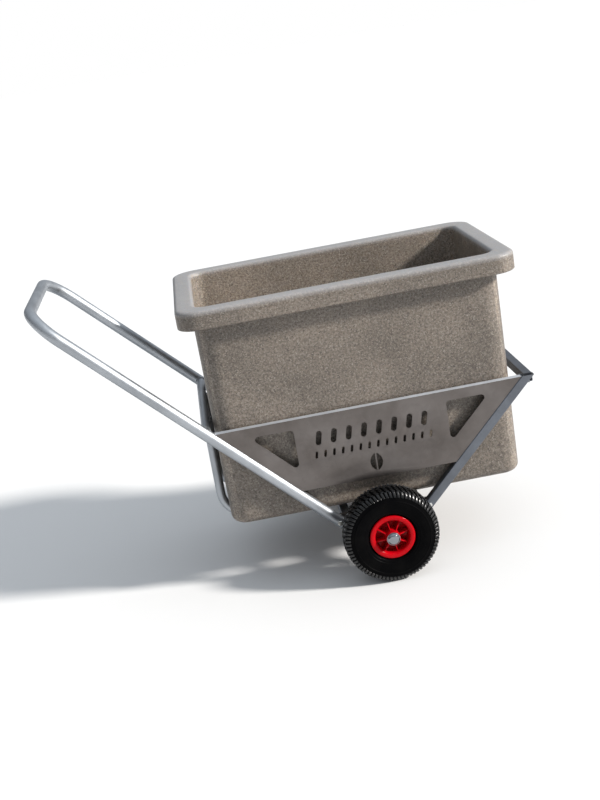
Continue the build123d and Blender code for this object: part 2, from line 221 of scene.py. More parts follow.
# %% Node helpers
def add_node(tree, kind, inputs=None, **options):
    """Adds a node. inputs maps a socket's name or number to a value or to another socket."""
    node = tree.nodes.new(kind)
    for option, value in options.items():
        setattr(node, option, value)
    for key, value in (inputs or {}).items():
        if isinstance(value, bpy.types.NodeSocket):
            tree.links.new(value, node.inputs[key])
        else:
            node.inputs[key].default_value = value
    return node


def sum_up(tree, operation, *values):
    """One arithmetic node; returns its result."""
    return add_node(tree, "ShaderNodeMath", dict(enumerate(values)),
                    operation=operation).outputs[0]


def start_material(name, **shader_values):
    """A material with its main shader, and the Object coordinates that its patterns read."""
    material = bpy.data.materials.new(name)
    material.use_nodes = True
    tree = material.node_tree
    shader = tree.nodes["Principled BSDF"]
    for socket, value in shader_values.items():
        shader.inputs[socket.replace("_", " ")].default_value = value
    place = add_node(tree, "ShaderNodeTexCoord").outputs["Object"]
    return material, tree, shader, place


def noise(tree, place, size_mm, detail=3.0, roughness=0.55, distortion=0.0):
    """Cloudy pattern whose patches are about size_mm wide."""
    return add_node(tree, "ShaderNodeTexNoise", {
        "Vector": place, "Scale": 0.5 / (size_mm * MM), "Detail": detail,
        "Roughness": roughness, "Distortion": distortion}).outputs["Fac"]


def cells(tree, place, size_mm):
    """Crystal-like cells of about size_mm, each with its own random value."""
    found = add_node(tree, "ShaderNodeTexVoronoi", {
        "Vector": place, "Scale": 1 / (size_mm * MM), "Randomness": 1.0}).outputs["Color"]
    return add_node(tree, "ShaderNodeSeparateColor", {"Color": found}).outputs["Red"]


def ramp(tree, value, stops, interpolation="LINEAR"):
    """Colour ramp; stops are (position, colour), a colour being a grey number or r, g, b."""
    node = add_node(tree, "ShaderNodeValToRGB", {"Fac": value})
    node.color_ramp.interpolation = interpolation
    elements = node.color_ramp.elements
    while len(elements) < len(stops):
        elements.new(0.5)
    for element, (position, colour) in zip(elements, stops):
        element.position = position
        colour = (colour,) * 3 if isinstance(colour, (int, float)) else tuple(colour)
        element.color = colour + (1,)
    return node.outputs["Color"]


def blend_colours(tree, share, first, second, mode="MIX"):
    """Mixes two colours; share, first and second are each a value or a socket."""
    node = add_node(tree, "ShaderNodeMix", data_type="RGBA", blend_type=mode)
    for number, value in ((0, share), (6, first), (7, second)):
        if isinstance(value, bpy.types.NodeSocket):
            tree.links.new(value, node.inputs[number])
        else:
            node.inputs[number].default_value = value if number == 0 else tuple(value) + (1,)
    return node.outputs[2]


def spread(tree, value, low, high):
    """Stretches a 0 to 1 pattern to the range low to high."""
    return add_node(tree, "ShaderNodeMapRange", {"Value": value, "To Min": low, "To Max": high}
                    ).outputs["Result"]


def bump(tree, shader, height, depth_mm, strength=1.0, normal=None):
    """Dents the shading by a pattern, depth_mm deep from its black to its white."""
    inputs = {"Height": height, "Distance": depth_mm * MM, "Strength": strength}
    if normal is not None:
        inputs["Normal"] = normal
    made = add_node(tree, "ShaderNodeBump", inputs).outputs["Normal"]
    tree.links.new(made, shader.inputs["Normal"])
    return made


print("node helpers ready")

# %% [markdown]
# ## The studio
# The floor is one flat, pale disc, so wide that its edge is lost in the light.  A sun-like key
# lamp stands low at the front right and gives the broad lip of the tub its shadow.  The world
# fills the rest softly: dim at the horizon and brighter overhead, like a large white tent.
# The camera itself sees plain white past the floor, so that no horizon shows.

# %% Floor
POLE = 0.001                                # radius that a turned shape's pole starts with
FLOOR_RINGS = (900, 2500, 8000, 200000)     # radii in millimetres, up to the floor's edge


def make_floor():
    outline = [(0, POLE)] + [(0, radius) for radius in FLOOR_RINGS]
    mesh = lathe("studio_floor", outline, (0, 0, 0), steps=96, axis="Z", closed=False)
    if mesh.polygons[0].normal.z < 0:
        mesh.flip_normals()
    paint, tree, shader, place = start_material(
        "studio_paint", Roughness=0.9, Specular_IOR_Level=0.1)
    tone = ramp(tree, noise(tree, place, 4000, 1), [(0.3, 0.725), (0.7, 0.731)])
    tree.links.new(tone, shader.inputs["Base Color"])
    floor = add_object("studio_floor", mesh, paint)
    return floor


floor = make_floor()
print("studio floor has", len(floor.data.polygons), "faces")

# %% Key lamp and world
def add_sun(name, towards, power, colour, width):
    """Distant lamp that shines from the direction towards and looks width degrees wide."""
    data = bpy.data.lights.new(name, "SUN")
    data.energy, data.color, data.angle = power, colour, math.radians(width)
    lamp = bpy.data.objects.new(name, data)
    lamp.rotation_euler = Vector(towards).to_track_quat("Z", "Y").to_euler()
    bpy.context.scene.collection.objects.link(lamp)
    return lamp


def make_world():
    """Light that grows with height and towards the front; the camera itself sees white."""
    world = bpy.data.worlds.new("studio_world")
    world.use_nodes = True
    tree = world.node_tree
    direction = add_node(tree, "ShaderNodeTexCoord").outputs["Generated"]
    axes = add_node(tree, "ShaderNodeSeparateXYZ", {0: direction}).outputs
    tent = ramp(tree, axes["Z"], [
        (0.0, (0.30, 0.31, 0.33)), (0.45, (0.56, 0.59, 0.63)), (1.0, (0.86, 0.93, 1.0))])
    side = add_node(tree, "ShaderNodeMapRange", {
        "Value": axes["X"], "From Min": -1.0, "To Min": 0.6, "To Max": 1.25}).outputs["Result"]
    tent = blend_colours(tree, 1.0, tent, side, "MULTIPLY")
    seen = add_node(tree, "ShaderNodeLightPath").outputs["Is Camera Ray"]
    shown = blend_colours(tree, seen, tent, (1.0, 1.0, 1.0))
    tree.links.new(shown, tree.nodes["Background"].inputs["Color"])
    return world


key = add_sun("key", towards=(2.4, -1.0, 1.35), power=5.8, colour=(1.0, 0.96, 0.91), width=7)
bpy.context.scene.world = make_world()
bpy.context.scene.view_settings.view_transform = "Standard"
print("lit by", key.name, "and", bpy.context.scene.world.name)

# %% [markdown]
# ## Stone-look plastic
# The tub is moulded from polyethylene powder with dark and light grains mixed in, which gives
# a granite look that goes all the way through.  Three sizes of pattern make it: single grains
# of a few millimetres, soft mottling a little larger, and slow changes over a hand's width.
# The mould was sand-blasted, so the surface has a fine, shallow grain of its own.  The crown
# of the lip is painted paler: a painted highlight for the light that its top catches.  Light
# that soaks through the walls lifts the inside; that lift is partly real subsurface glow and
# partly painted light, the same recipe in a lighter tone.

# %% Tub plastic
PAINTED_CROWN_HIGHLIGHT = (tub_high.z - 16 * MM, tub_high.z - 1 * MM)     # heights between which a painted highlight pales the crown


def stone_plastic(name, light, glow):
    """Speckled plastic: light scales its tone, and above 1 it paints light in; glow is how far
    light soaks into it.
    """
    def tone(*colour):
        return tuple(min(0.9, v * light) for v in colour)

    material, tree, shader, place = start_material(
        name, Specular_IOR_Level=0.6, Subsurface_Weight=glow, Subsurface_Scale=0.02,
        Subsurface_Radius=(1.0, 0.55, 0.28))
    mottle = ramp(tree, noise(tree, place, 3.0, 4, 0.7), [
        (0.30, tone(0.064, 0.051, 0.040)), (0.5, tone(0.146, 0.121, 0.098)),
        (0.70, tone(0.240, 0.210, 0.178))])
    slow = ramp(tree, noise(tree, place, 110, 5, 0.65), [(0.35, 0.72), (0.65, 1.12)])
    colour = blend_colours(tree, 1.0, mottle, slow, "MULTIPLY")
    dark = ramp(tree, cells(tree, place, 2.4), [(0.0, 1.0), (0.075, 0.0)], "CONSTANT")
    colour = blend_colours(tree, sum_up(tree, "MULTIPLY", dark, 0.6), colour,
                           tone(0.030, 0.024, 0.020))
    pale = ramp(tree, cells(tree, place, 2.1), [(0.0, 0.0), (0.93, 1.0)], "CONSTANT")
    colour = blend_colours(tree, sum_up(tree, "MULTIPLY", pale, 0.4), colour,
                           tone(0.36, 0.33, 0.29))
    # Painted highlight: the crown of the lip is blended halfway towards a pale bluish grey, for the
    # light that falls on its top.
    height = add_node(tree, "ShaderNodeSeparateXYZ", {0: place}).outputs["Z"]
    crown = add_node(tree, "ShaderNodeMapRange", {
        "Value": height, "From Min": PAINTED_CROWN_HIGHLIGHT[0], "From Max": PAINTED_CROWN_HIGHLIGHT[1]}).outputs["Result"]
    colour = blend_colours(tree, sum_up(tree, "MULTIPLY", crown, 0.5), colour, (0.38, 0.39, 0.41))
    tree.links.new(colour, shader.inputs["Base Color"])
    tree.links.new(spread(tree, noise(tree, place, 18, 3), 0.42, 0.58), shader.inputs["Roughness"])
    fine = bump(tree, shader, noise(tree, place, 0.9, 2), 0.08, 0.5)
    bump(tree, shader, noise(tree, place, 30, 2), 0.4, 0.3, fine)
    return material


STONE = stone_plastic("stone_plastic", 1.0, 0.10)
# The inside's copy has its tone raised 1.4 times: painted light for light soaked through the walls,
# beside its real subsurface glow.
STONE_INSIDE_PAINTED_GLOW = stone_plastic("stone_plastic_inside", 1.4, 0.25)
print("made", STONE.name, "and", STONE_INSIDE_PAINTED_GLOW.name)

# %% [markdown]
# ## Zinc on steel
# Hot-dip galvanising leaves crystals, called spangle, on flat sheet, and a smoother, faintly
# streaked coat on tube.  All of it is one metal, so one recipe takes a tone, a roughness and
# how strong the crystals show.  Handling leaves small, darker smears, and fresh zinc on a weld
# is dull.  The folded top of a plate gets a bright, bluish tone, which is a painted highlight.
# The sheet's darker, warm tone is partly its dull zinc and partly painted shade and painted
# brown reflection; the square bars' darker, bluish tone is painted shade and sky reflection.

# %% Zinc recipe
def zinc_coat(name, bright, dull, rough, spangle_mm, spangle, fleck, scratch=0.0, metal=1.0):
    """Galvanised metal: bright and dull are the two tones that cloudy smears mix."""
    material, tree, shader, place = start_material(name, Metallic=metal)
    cloud = noise(tree, place, 60, 3, 0.5, 0.3)
    colour = blend_colours(tree, ramp(tree, cloud, [(0.36, 0.0), (0.68, 0.85)]), bright, dull)
    crystal = cells(tree, place, spangle_mm)
    tone = spread(tree, crystal, 1 - spangle, 1 + spangle)
    colour = blend_colours(tree, 1.0, colour, tone, "MULTIPLY")
    spots = ramp(tree, noise(tree, place, 2.2, 3, 0.7), [(0.62, 0.0), (0.72, fleck)])
    colour = blend_colours(tree, spots, colour, tuple(v * 0.55 for v in dull))
    tree.links.new(colour, shader.inputs["Base Color"])
    wear = sum_up(tree, "ADD", spread(tree, crystal, -0.03, 0.03),
                  spread(tree, noise(tree, place, 14, 4), rough[0], rough[1]))
    tree.links.new(wear, shader.inputs["Roughness"])
    coat = bump(tree, shader, noise(tree, place, 1.6, 3), 0.02, 0.3)
    if scratch:
        stretched = add_node(tree, "ShaderNodeMapping", {
            "Vector": place, "Rotation": (0.0, 0.35, 0.0),
            "Scale": (1.0, 1.0, 14.0)}).outputs["Vector"]
        coat = bump(tree, shader, noise(tree, stretched, 26, 5, 0.75), 0.05, scratch, coat)
    bump(tree, shader, noise(tree, place, 26, 2), 0.15, 0.3, coat)
    return material


print("zinc recipe ready")

# %% Six zinc finishes
TUBE_ZINC = zinc_coat("galvanised_tube", (0.43, 0.455, 0.485), (0.31, 0.33, 0.355),
                      rough=(0.40, 0.52), spangle_mm=9, spangle=0.03, fleck=0.12)
# Painted shade: the square bars get a darker, bluish tone for the shade and the sky reflection on
# their sides.
BAR_ZINC_PAINTED_SHADE = zinc_coat("galvanised_square_tube", (0.18, 0.195, 0.222), (0.12, 0.128, 0.144),
                     rough=(0.38, 0.50), spangle_mm=10, spangle=0.05, fleck=0.2)
# Partly painted shade: the sheet's darker, warm tone is dull zinc with painted shade and a painted
# brown reflection.
SHEET_ZINC_PAINTED_SHADE = zinc_coat("galvanised_sheet", (0.185, 0.168, 0.160), (0.125, 0.110, 0.102),
                       rough=(0.38, 0.52), spangle_mm=12, spangle=0.05, fleck=0.2, scratch=0.4)
# Painted highlight: the fold's top gets a bright, bluish tone for the sky that it faces.
FOLD_PAINTED_HIGHLIGHT = zinc_coat("burnished_fold", (0.50, 0.53, 0.58), (0.40, 0.42, 0.45),
                      rough=(0.40, 0.50), spangle_mm=12, spangle=0.04, fleck=0.1, metal=0.3)
WELD_ZINC = zinc_coat("zinc_over_weld", (0.30, 0.315, 0.335), (0.20, 0.205, 0.21),
                      rough=(0.50, 0.64), spangle_mm=5, spangle=0.05, fleck=0.3)
BOLT_ZINC = zinc_coat("bright_zinc", (0.80, 0.80, 0.79), (0.62, 0.60, 0.54),
                      rough=(0.16, 0.28), spangle_mm=4, spangle=0.02, fleck=0.2)
print("made", [m.name for m in (TUBE_ZINC, BAR_ZINC_PAINTED_SHADE, SHEET_ZINC_PAINTED_SHADE, FOLD_PAINTED_HIGHLIGHT, WELD_ZINC, BOLT_ZINC)])

# %% [markdown]
# ## Wheel finishes
# The rim is glossy red plastic with fine rub marks.  Tyre rubber is never pure black: it is a
# very dark grey with dust in soft patches.  The ground polishes the tread, so its blocks are
# glossier than the sidewalls.  The push-on caps are chromed, and the bushes, valve and air
# tube each have their own plain finish.

# %% Recipes for rubber, plastic and polished metal
def tyre_rubber(name, gloss, rough, clean, dusty):
    """Black rubber: gloss and rough set its sheen, dust lies in soft patches."""
    material, tree, shader, place = start_material(name, Specular_IOR_Level=gloss)
    dust = ramp(tree, noise(tree, place, 28, 5, 0.65), [(0.45, 0.0), (0.75, 0.45)])
    tree.links.new(blend_colours(tree, dust, clean, dusty), shader.inputs["Base Color"])
    tree.links.new(spread(tree, noise(tree, place, 9, 4), *rough), shader.inputs["Roughness"])
    bump(tree, shader, noise(tree, place, 1.2, 3), 0.12, 0.5)
    return material


def moulded_plastic(name, colour, shade, rough, gloss, grain_mm):
    """Plain moulded plastic in two close shades, with grain and faint flow marks."""
    material, tree, shader, place = start_material(name, Specular_IOR_Level=gloss)
    mix = blend_colours(tree, noise(tree, place, 20, 4, 0.6), colour, shade)
    tree.links.new(mix, shader.inputs["Base Color"])
    tree.links.new(spread(tree, noise(tree, place, 7, 4), *rough), shader.inputs["Roughness"])
    bump(tree, shader, noise(tree, place, grain_mm, 2), 0.05, 0.4)
    return material


def polished_metal(name, colour, rough, grain_mm):
    """Bright bare metal with faint handling marks."""
    material, tree, shader, place = start_material(name, Metallic=1.0)
    tone = blend_colours(tree, noise(tree, place, 6, 3), colour, tuple(v * 0.86 for v in colour))
    tree.links.new(tone, shader.inputs["Base Color"])
    tree.links.new(spread(tree, noise(tree, place, 4, 4), *rough), shader.inputs["Roughness"])
    bump(tree, shader, noise(tree, place, grain_mm, 2), 0.02, 0.3)
    return material


print("recipes for wheel finishes ready")

# %% Finishes of the wheel's pieces
RUBBER = tyre_rubber("tyre_rubber", gloss=0.03, rough=(0.28, 0.46),
                     clean=(0.0012, 0.0012, 0.0015), dusty=(0.0056, 0.0054, 0.0051))
TREAD_RUBBER = tyre_rubber("tread_rubber", gloss=0.45, rough=(0.20, 0.36),
                           clean=(0.0030, 0.0030, 0.0036), dusty=(0.0120, 0.0118, 0.0115))
RIM_RED = moulded_plastic("rim_red", (0.45, 0.0008, 0.0058), (0.36, 0.0008, 0.0042),
                          rough=(0.12, 0.24), gloss=0.11, grain_mm=3.0)
BUSH_BLACK = moulded_plastic("bush_black", (0.020, 0.020, 0.021), (0.032, 0.031, 0.030),
                             rough=(0.38, 0.52), gloss=0.4, grain_mm=0.8)
AIR_TUBE = moulded_plastic("air_tube_rubber", (0.014, 0.014, 0.015), (0.024, 0.023, 0.023),
                           rough=(0.5, 0.66), gloss=0.35, grain_mm=1.0)
CHROME = polished_metal("chrome", (0.29, 0.305, 0.33), rough=(0.05, 0.13), grain_mm=5.0)
BRASS = polished_metal("brass", (0.76, 0.58, 0.30), rough=(0.22, 0.36), grain_mm=2.0)
print("wheel finishes ready")

# %% [markdown]
# ## Finishes for the CAD pieces
# Straight tubes, washers and the axle are already right in the CAD, so they stay and only get
# a better finish.  The imported record says which finish slot each node belongs to.  The bars of
# square tube get a darker, bluish finish of their own, which is painted shade and painted sky
# reflection.

# %% Give each CAD node its finish
FINISH = {"stone_plastic": STONE, "galvanised": TUBE_ZINC, "galvanised_sheet": SHEET_ZINC_PAINTED_SHADE,
          "zinc": BOLT_ZINC, "chrome": CHROME, "tyre": RUBBER, "butyl": AIR_TUBE,
          "rim_plastic": RIM_RED, "bush_plastic": BUSH_BLACK, "brass": BRASS}
SLOT_OF = {part["node"]: part["material_slot"] for part in frame["record"]["subparts"]}
for node, cad_object in frame["nodes"].items():
    cad_object.material_slots[0].material = FINISH[SLOT_OF[node]]
# the square bars take the finish with painted shade
for node in ("strut_right", "strut_left", "member_rear", "member_front", "front_bar"):
    frame["nodes"][node].material_slots[0].material = BAR_ZINC_PAINTED_SHADE
print("finished", len(SLOT_OF), "CAD nodes")


def place_piece(piece, body, *nodes):
    """The two things that a new piece says: its body and the nodes it stands for."""
    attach(piece, body)
    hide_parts(*nodes)
    print(piece.name, "has", len(piece.data.polygons), "faces and rides on", body)
    return piece


# %% [markdown]
# ## The planter tub
# The tub is one skin of plastic: up the outside, round under the broad lip, over its crown,
# down the inside and across the floor.  Seen from above, every level of that skin is a
# rectangle with round corners.  So the outline is walked once, from the middle of the bottom
# to the middle of the floor inside, and each point on it becomes a ring.  Long walls of a
# moulded tub are never quite flat, so they swell outwards by a hair.

# %% Outline of the tub's skin
LIP_LENGTH = (tub_high.x - tub_low.x) / MM
LIP_WIDTH = (tub_high.y - tub_low.y) / MM
TOP, FOOT = tub_high.z / MM, tub_low.z / MM
WALL = 12               # thickness of the plastic
LIP_FOOT = TOP - 51     # lowest edge of the lip, which is turned down all round
LIP_RADIUS = 62         # corner of the lip, seen from above
PARTING = 0.5           # depth of the mould's parting line on the lip


def tub_outline():
    """From bottom middle to floor middle, up the outside and down the inside.  Each corner is
    (inset from the lip's outside, height, rounding, radius of the ring's corners)."""
    outside = [(46, FOOT, 49, 52), (42, TOP - 17, 9, 52), (10, TOP - 17, 7, 52),
               (10, LIP_FOOT, 2.5, 52), (0, LIP_FOOT, 4, LIP_RADIUS), (0, TOP - 22, 0, LIP_RADIUS)]
    parting = [(0, TOP - 21, 0, LIP_RADIUS), (PARTING, TOP - 20.6, 0, LIP_RADIUS),
               (0, TOP - 20.2, 0, LIP_RADIUS)]
    crown = [(0, TOP, 19, LIP_RADIUS), (33, TOP, 30, 48), (54, TOP, 18, 40)]
    inside = [(58, FOOT + WALL, 38, 40), (96, FOOT + WALL, 0, 2)]
    return eased_outline([(95, FOOT, 0, 3)] + outside + parting + crown + inside,
                         steps=8, closed=False)


def subdivided(outline, longest=16):
    """Adds points so that no step of the outline is longer than the given millimetres."""
    points = [outline[0]]
    for a, b in zip(outline, outline[1:]):
        pieces = max(1, math.ceil(math.hypot(b[0] - a[0], b[1] - a[1]) / longest))
        points += [tuple(a[i] + (b[i] - a[i]) * k / pieces for i in range(3))
                   for k in range(1, pieces + 1)]
    return points


skin = subdivided(tub_outline())
print("the skin's outline has", len(skin), "points")

# %% Rings of the tub
CORNER_STEPS = 12         # faces round each corner of a ring
RUN_X, RUN_Y = 44, 26     # faces along each straight run
SWELL = 1.6               # how far a long wall bows out
WALL_INSETS = (40, 60)    # only rings of the walls swell, and those lie between these insets


def tub_ring(inset, height, radius):
    """Rounded rectangle at one height, walked anticlockwise seen from above, in metres."""
    half_x, half_y = LIP_LENGTH / 2 - inset, LIP_WIDTH / 2 - inset
    radius = max(1.5, min(radius, LIP_RADIUS))
    rise = (height - FOOT) / (TOP - FOOT)
    on_wall = WALL_INSETS[0] < inset < WALL_INSETS[1]
    swell = SWELL * math.sin(math.pi * max(0, min(1, rise))) if on_wall else 0
    ring = []
    for turn, (sx, sy) in enumerate(((1, -1), (1, 1), (-1, 1), (-1, -1))):
        cx, cy = sx * (half_x - radius), sy * (half_y - radius)
        for k in range(CORNER_STEPS + 1):
            angle = math.pi / 2 * (turn - 1 + k / CORNER_STEPS)
            ring.append((cx + radius * math.cos(angle), cy + radius * math.sin(angle)))
        runs = RUN_Y if turn % 2 == 0 else RUN_X
        start = ring[-1]
        end = {0: (half_x, half_y - radius), 1: (-half_x + radius, half_y),
               2: (-half_x, -half_y + radius), 3: (half_x - radius, -half_y)}[turn]
        out = ((1, 0), (0, 1), (-1, 0), (0, -1))[turn]
        for k in range(1, runs):
            t = k / runs
            push = swell * math.sin(math.pi * t) ** 2
            ring.append((start[0] + (end[0] - start[0]) * t + out[0] * push,
                         start[1] + (end[1] - start[1]) * t + out[1] * push))
    return [(TUB_X + x * MM, y * MM, height * MM) for x, y in ring]


print("a ring has", len(tub_ring(*skin[0])), "points")

# %% Close the skin and give its inside the copy with painted light
INSIDE_INSET = 53     # faces further in than this are inside the tub


def is_inside(spot):
    """True for a point, in metres, on the inner walls or on the floor of the tub."""
    reach_x, reach_y = abs(spot.x - TUB_X) / MM, abs(spot.y) / MM
    return (reach_x < LIP_LENGTH / 2 - INSIDE_INSET and reach_y < LIP_WIDTH / 2 - INSIDE_INSET
            and FOOT + WALL / 2 < spot.z / MM)


def make_tub():
    rings = [tub_ring(*level) for level in skin]
    size = len(rings[0])
    points = [p for ring in rings for p in ring]
    faces = [(i * size + k, i * size + (k + 1) % size,
              (i + 1) * size + (k + 1) % size, (i + 1) * size + k)
             for i in range(len(rings) - 1) for k in range(size)]
    faces.append(tuple(reversed(range(size))))
    faces.append(tuple(range(len(points) - size, len(points))))
    piece = add_object("tub_skin", tidy_mesh(new_mesh("tub_skin", points, faces)), STONE, 40)
    piece.data.materials.append(STONE_INSIDE_PAINTED_GLOW)
    # faces inside take the copy whose raised tone is painted light
    for face in piece.data.polygons:
        if is_inside(face.center):
            face.material_index = 1
    return place_piece(piece, "tub", "planter_tub")


make_tub()

# %% [markdown]
# ## Tubes that follow a path
# The handle is one tube bent twice, and each cradle tube is bent once.  Geometry Nodes do
# this well: a line of straight runs goes in, its corners are filleted as a tube bender would,
# and a circle is swept along it.  A Solidify step then gives the tube its wall, so that its
# cut ends show a ring of metal and not a solid bar.

# %% Start, end and run a geometry tree
def start_tree(name, inputs):
    """Geometry tree with named inputs, each (label, socket type, default)."""
    tree = bpy.data.node_groups.new(name, "GeometryNodeTree")
    tree.interface.new_socket("Geometry", in_out="INPUT", socket_type="NodeSocketGeometry")
    for label, kind, default in inputs:
        socket = tree.interface.new_socket(label, in_out="INPUT", socket_type=kind)
        if default is not None:
            socket.default_value = default
    tree.interface.new_socket("Geometry", in_out="OUTPUT", socket_type="NodeSocketGeometry")
    return tree, add_node(tree, "NodeGroupInput").outputs


def end_tree(tree, geometry, material):
    """Ends every tree the same way: real geometry, smooth, with its material."""
    real = add_node(tree, "GeometryNodeRealizeInstances", {"Geometry": geometry}).outputs[0]
    smooth = add_node(tree, "GeometryNodeSetShadeSmooth", {"Geometry": real}).outputs[0]
    painted = add_node(tree, "GeometryNodeSetMaterial", {
        "Geometry": smooth, "Material": material}).outputs[0]
    add_node(tree, "NodeGroupOutput", {0: painted})
    return tree


def grow(name, tree, source, **values):
    """Runs a tree on a mesh and returns the result as a plain mesh."""
    holder = bpy.data.objects.new(name, source)
    bpy.context.scene.collection.objects.link(holder)
    modifier = holder.modifiers.new("grow", "NODES")
    modifier.node_group = tree
    for item in tree.interface.items_tree:
        label = item.name.replace(" ", "_")
        if item.in_out == "INPUT" and label in values:
            modifier[item.identifier] = values.pop(label)
    if values:
        raise ValueError(f"{tree.name} has no input named {sorted(values)}")
    graph = bpy.context.evaluated_depsgraph_get()
    mesh = bpy.data.meshes.new_from_object(holder.evaluated_get(graph), depsgraph=graph)
    bpy.data.objects.remove(holder)
    mesh.name = name
    return mesh


print("tree helpers ready")

# %% A tree that bends a tube
def bent_tube_tree():
    tree, given = start_tree("bent_tube", [
        ("Bend radius", "NodeSocketFloat", 0.1), ("Bend steps", "NodeSocketInt", 16),
        ("Diameter", "NodeSocketFloat", 0.032), ("Sides", "NodeSocketInt", 48),
        ("Material", "NodeSocketMaterial", None)])
    line = add_node(tree, "GeometryNodeMeshToCurve", {"Mesh": given["Geometry"]}).outputs[0]
    bent = add_node(tree, "GeometryNodeFilletCurve", {
        "Curve": line, "Count": given["Bend steps"], "Radius": given["Bend radius"]},
        mode="POLY").outputs[0]
    circle = add_node(tree, "GeometryNodeCurvePrimitiveCircle", {
        "Resolution": given["Sides"],
        "Radius": sum_up(tree, "DIVIDE", given["Diameter"], 2.0)}).outputs[0]
    tube = add_node(tree, "GeometryNodeCurveToMesh", {
        "Curve": bent, "Profile Curve": circle}).outputs[0]
    return end_tree(tree, tube, given["Material"])


def line_mesh(name, points):
    """A chain of edges through points given in millimetres."""
    edges = [(i, i + 1) for i in range(len(points) - 1)]
    return new_mesh(name, [Vector(p) * MM for p in points], [], edges)


def finish_with(mesh, *modifiers):
    """Applies modifiers, given as (type, settings), and returns the finished mesh."""
    holder = bpy.data.objects.new("holder", mesh)
    bpy.context.scene.collection.objects.link(holder)
    for kind, settings in modifiers:
        modifier = holder.modifiers.new(kind.lower(), kind)
        for setting, value in settings.items():
            setattr(modifier, setting, value)
    graph = bpy.context.evaluated_depsgraph_get()
    made = bpy.data.meshes.new_from_object(holder.evaluated_get(graph), depsgraph=graph)
    bpy.data.objects.remove(holder)
    return made


BENT_TUBE = bent_tube_tree()
print("tree", BENT_TUBE.name, "has", len(BENT_TUBE.nodes), "nodes")

# %% Bend the handle and the two cradle tubes
AX = AXLE.x / MM
LEG_Y = 277                   # middle of each leg, out from the middle plane
APEX_Z = 37                   # height where the sloping lines of a side meet
LEG_FOOT, GRIP = 100, 866     # heights of the leg's cut end and of the grip
HANDLE_TUBE, CRADLE_TUBE = 32, 25
TUBE_WALL = 2
HANDLE_BEND, CRADLE_BEND = 100, 70
RING_TOP = 471                # top of the frame's ring
CRADLE_Y, CRADLE_X, CRADLE_Z = 120, 430, 177
CRADLE_FRONT = 112.5          # where a cradle tube ends, ahead of the axle


def leg_point(side, height):
    """A point on the middle line of a handle leg, in millimetres."""
    return (AX - (height - APEX_Z), side * LEG_Y, height)


def bent_tube(name, node, path, bend_radius, diameter):
    """Bends a tube along a path, gives it its wall, and eases the rims of its cut ends."""
    swept = grow(name, BENT_TUBE, line_mesh(name + "_path", path), Bend_radius=bend_radius * MM,
                 Bend_steps=18, Diameter=diameter * MM, Sides=48, Material=TUBE_ZINC)
    walled = finish_with(
        tidy_mesh(swept), ("SOLIDIFY", {"thickness": TUBE_WALL * MM, "offset": -1.0}),
        ("BEVEL", {"width": 0.3 * MM, "segments": 2, "angle_limit": math.radians(50)}))
    return place_piece(add_object(name, walled, TUBE_ZINC), "frame", node)


bent_tube("handle_bent_tube", "handle_tube",
          [leg_point(-1, LEG_FOOT), leg_point(-1, GRIP),
           leg_point(1, GRIP), leg_point(1, LEG_FOOT)], HANDLE_BEND, HANDLE_TUBE)
for side, sign in SIDES.items():
    y = sign * CRADLE_Y
    bent_tube("cradle_bent_tube_" + side, "cradle_tube_" + side,
              [(AX - CRADLE_X, y, RING_TOP - 6), (AX - CRADLE_X, y, CRADLE_Z),
               (AX + CRADLE_FRONT, y, CRADLE_Z)], CRADLE_BEND, CRADLE_TUBE)

# %% [markdown]
# ## Sheet with eased edges
# The side plates and brackets have the right outline in the CAD, but their edges are
# mathematically sharp, and a sharp edge catches no light.  A copy of each CAD mesh is merged,
# its flat areas are joined into single faces, and its edges are rounded: a hair on cut edges,
# and a proper bending radius along the folded top of each plate.

# %% Ease the edges of copied CAD meshes
def eased_copy(node, cut, bend, fold=None):
    """Copy of a CAD node with its edges rounded to the width cut, or to the width bend on the
    edges that fold(middle, length) picks, all in millimetres."""
    mesh = frame["nodes"][node].data.copy()
    work = bmesh.new()
    work.from_mesh(mesh)
    bmesh.ops.remove_doubles(work, verts=work.verts, dist=2e-6)
    bmesh.ops.dissolve_limit(work, angle_limit=math.radians(0.5),
                             verts=work.verts, edges=work.edges)
    weight = work.edges.layers.float.new("bevel_weight_edge")
    for edge in work.edges:
        sharp = len(edge.link_faces) == 2 and edge.calc_face_angle(0) > math.radians(30)
        folded = fold is not None and fold((edge.verts[0].co + edge.verts[1].co) / 2 / MM,
                                           edge.calc_length() / MM)
        edge[weight] = 1.0 if sharp and folded else (cut / bend if sharp else 0.0)
    work.to_mesh(mesh)
    work.free()
    if mesh.has_custom_normals:
        mesh.attributes.remove(mesh.attributes["custom_normal"])
    return finish_with(mesh, ("BEVEL", {
        "width": bend * MM, "segments": 3, "limit_method": "WEIGHT",
        "harden_normals": False, "use_clamp_overlap": True}))


PLATE_Y = 284       # outer face of a side plate
PAINTED_HIGHLIGHT_DEPTH = 3.1    # faces no further than this below the fold's top get the painted highlight
SLACK = 0.2         # how far off an edge may lie and still count as on the fold


def along_fold(middle, length):
    """True for the long outer edge where the plate's top is folded inwards."""
    return (abs(middle.z - RING_TOP) < SLACK and abs(abs(middle.y) - PLATE_Y) < SLACK
            and length > 30)


def paint_fold_highlight(piece):
    """Gives the folded top of a plate its own bright, bluish finish: a painted highlight."""
    piece.data.materials.append(FOLD_PAINTED_HIGHLIGHT)
    for face in piece.data.polygons:
        if face.center.z / MM > RING_TOP - PAINTED_HIGHLIGHT_DEPTH:
            face.material_index = 1


